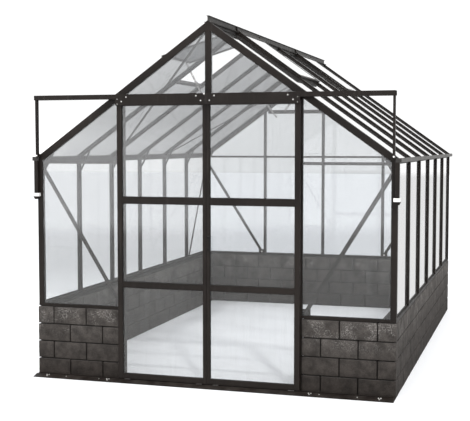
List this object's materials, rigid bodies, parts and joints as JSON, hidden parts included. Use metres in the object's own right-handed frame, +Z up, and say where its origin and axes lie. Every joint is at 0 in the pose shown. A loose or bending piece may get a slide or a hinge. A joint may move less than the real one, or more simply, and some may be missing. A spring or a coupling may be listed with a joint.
{
  "type": "walk-in greenhouse",
  "caption": "Glazed gable greenhouse on a low block wall, with sliding double doors in a head track, hinged roof vents on stays, gutters and a ramped threshold.",
  "frame": {"origin": "on the ground, under the middle of the whole outline", "axes": "+Z up, +Y from the door gable to the rear gable, +X to the right seen from the doors"},
  "size_m": [2.618, 3.9, 2.521],
  "materials": {
    "block": "rough split-face concrete",
    "mortar": "dark raked mortar",
    "frame_metal": "fine-textured satin powder coat",
    "ridge_metal": "satin powder coat, weathered",
    "glass": "clear horticultural glass",
    "collar_plastic": "pale moulded collar",
    "bolt_steel": "zinc-plated heads",
    "gear_steel": "plated strip",
    "roller_nylon": "turned nylon"
  },
  "bodies": {
    "greenhouse": {"wall_front": "block", "wall_left": "block", "wall_right": "block", "wall_rear": "block", "wall_mortar": "mortar", "sill_rails": "frame_metal", "corner_posts": "frame_metal", "gable_rafters": "frame_metal", "door_posts": "frame_metal", "door_head_beam": "frame_metal", "front_mullion": "frame_metal", "rear_gable_bars": "frame_metal", "gable_transoms": "frame_metal", "eave_rails": "frame_metal", "side_bars": "frame_metal", "roof_bars": "frame_metal", "ridge_beam": "frame_metal", "ridge_cap": "ridge_metal", "gutters": "ridge_metal", "downpipes": "frame_metal", "downpipe_collars": "collar_plastic", "knee_braces": "frame_metal", "wind_braces": "frame_metal", "gusset_plates": "frame_metal", "side_glass": "glass", "roof_glass": "glass", "gable_glass": "glass", "door_track": "frame_metal", "track_struts": "frame_metal", "head_plates": "frame_metal", "bottom_track": "frame_metal", "frame_bolts": "bolt_steel", "vent_trimmers": "frame_metal"},
    "door_left": {"door_left_frame": "frame_metal", "door_left_glass": "glass", "door_left_running_gear": "gear_steel"},
    "door_left_roller_inner": {"door_left_roller_inner": "roller_nylon"},
    "door_left_roller_outer": {"door_left_roller_outer": "roller_nylon"},
    "door_right": {"door_right_frame": "frame_metal", "door_right_glass": "glass", "door_right_running_gear": "gear_steel", "door_handle": "frame_metal"},
    "door_right_roller_inner": {"door_right_roller_inner": "roller_nylon"},
    "door_right_roller_outer": {"door_right_roller_outer": "roller_nylon"},
    "vent_left_front": {"vent_left_front_sash": "frame_metal", "vent_left_front_glass": "glass"},
    "vent_left_front_stay": {"vent_left_front_stay": "gear_steel"},
    "vent_left_rear": {"vent_left_rear_sash": "frame_metal", "vent_left_rear_glass": "glass"},
    "vent_left_rear_stay": {"vent_left_rear_stay": "gear_steel"},
    "vent_right_front": {"vent_right_front_sash": "frame_metal", "vent_right_front_glass": "glass"},
    "vent_right_front_stay": {"vent_right_front_stay": "gear_steel"},
    "vent_right_rear": {"vent_right_rear_sash": "frame_metal", "vent_right_rear_glass": "glass"},
    "vent_right_rear_stay": {"vent_right_rear_stay": "gear_steel"}
  },
  "joints": [
    {"name": "door_left_slide", "type": "slide", "parent": "greenhouse", "child": "door_left", "axis": [-1, 0, 0], "range_m": [0, 0.6]},
    {"name": "door_left_roller_inner_spin", "type": "hinge", "parent": "door_left", "child": "door_left_roller_inner", "pos_m": [-0.06, -1.87, 1.9811], "axis": [0, 1, 0], "range_deg": [-3200, 0]},
    {"name": "door_left_roller_outer_spin", "type": "hinge", "parent": "door_left", "child": "door_left_roller_outer", "pos_m": [-0.59, -1.87, 1.9811], "axis": [0, 1, 0], "range_deg": [-3200, 0]},
    {"name": "door_right_slide", "type": "slide", "parent": "greenhouse", "child": "door_right", "axis": [1, 0, 0], "range_m": [0, 0.6]},
    {"name": "door_right_roller_inner_spin", "type": "hinge", "parent": "door_right", "child": "door_right_roller_inner", "pos_m": [0.06, -1.87, 1.9811], "axis": [0, 1, 0], "range_deg": [0, 3200]},
    {"name": "door_right_roller_outer_spin", "type": "hinge", "parent": "door_right", "child": "door_right_roller_outer", "pos_m": [0.59, -1.87, 1.9811], "axis": [0, 1, 0], "range_deg": [0, 3200]},
    {"name": "vent_left_front_hinge", "type": "hinge", "parent": "greenhouse", "child": "vent_left_front", "pos_m": [-0.01773, -0.885, 2.48501], "axis": [0, 1, 0], "range_deg": [-19, 9]},
    {"name": "vent_left_front_stay_pivot", "type": "hinge", "parent": "vent_left_front", "child": "vent_left_front_stay", "pos_m": [-0.53768, -0.7962, 2.31441], "axis": [0, 1, 0], "range_deg": [-5, 10]},
    {"name": "vent_left_rear_hinge", "type": "hinge", "parent": "greenhouse", "child": "vent_left_rear", "pos_m": [-0.01773, 0.975, 2.48501], "axis": [0, 1, 0], "range_deg": [0, 28]},
    {"name": "vent_left_rear_stay_pivot", "type": "hinge", "parent": "vent_left_rear", "child": "vent_left_rear_stay", "pos_m": [-0.45381, 1.0638, 2.15443], "axis": [0, 1, 0], "range_deg": [-14.5, 0.5]},
    {"name": "vent_right_front_hinge", "type": "hinge", "parent": "greenhouse", "child": "vent_right_front", "pos_m": [0.01773, -0.885, 2.48501], "axis": [0, -1, 0], "range_deg": [0, 28]},
    {"name": "vent_right_front_stay_pivot", "type": "hinge", "parent": "vent_right_front", "child": "vent_right_front_stay", "pos_m": [0.45381, -0.7962, 2.15443], "axis": [0, -1, 0], "range_deg": [-14.5, 0.5]},
    {"name": "vent_right_rear_hinge", "type": "hinge", "parent": "greenhouse", "child": "vent_right_rear", "pos_m": [0.01773, 0.975, 2.48501], "axis": [0, -1, 0], "range_deg": [0, 28]},
    {"name": "vent_right_rear_stay_pivot", "type": "hinge", "parent": "vent_right_rear", "child": "vent_right_rear_stay", "pos_m": [0.45381, 1.0638, 2.15443], "axis": [0, -1, 0], "range_deg": [-14.5, 0.5]}
  ],
  "couplings": [
    {"joint": "door_left_roller_inner_spin", "follows": "door_left_slide", "rad_per_m": -90.909},
    {"joint": "door_left_roller_outer_spin", "follows": "door_left_slide", "rad_per_m": -90.909},
    {"joint": "door_right_roller_inner_spin", "follows": "door_right_slide", "rad_per_m": 90.909},
    {"joint": "door_right_roller_outer_spin", "follows": "door_right_slide", "rad_per_m": 90.909},
    {"joint": "vent_left_front_stay_pivot", "follows": "vent_left_front_hinge", "ratio": -0.5},
    {"joint": "vent_left_rear_stay_pivot", "follows": "vent_left_rear_hinge", "ratio": -0.5},
    {"joint": "vent_right_front_stay_pivot", "follows": "vent_right_front_hinge", "ratio": -0.5},
    {"joint": "vent_right_rear_stay_pivot", "follows": "vent_right_rear_hinge", "ratio": -0.5}
  ]
}
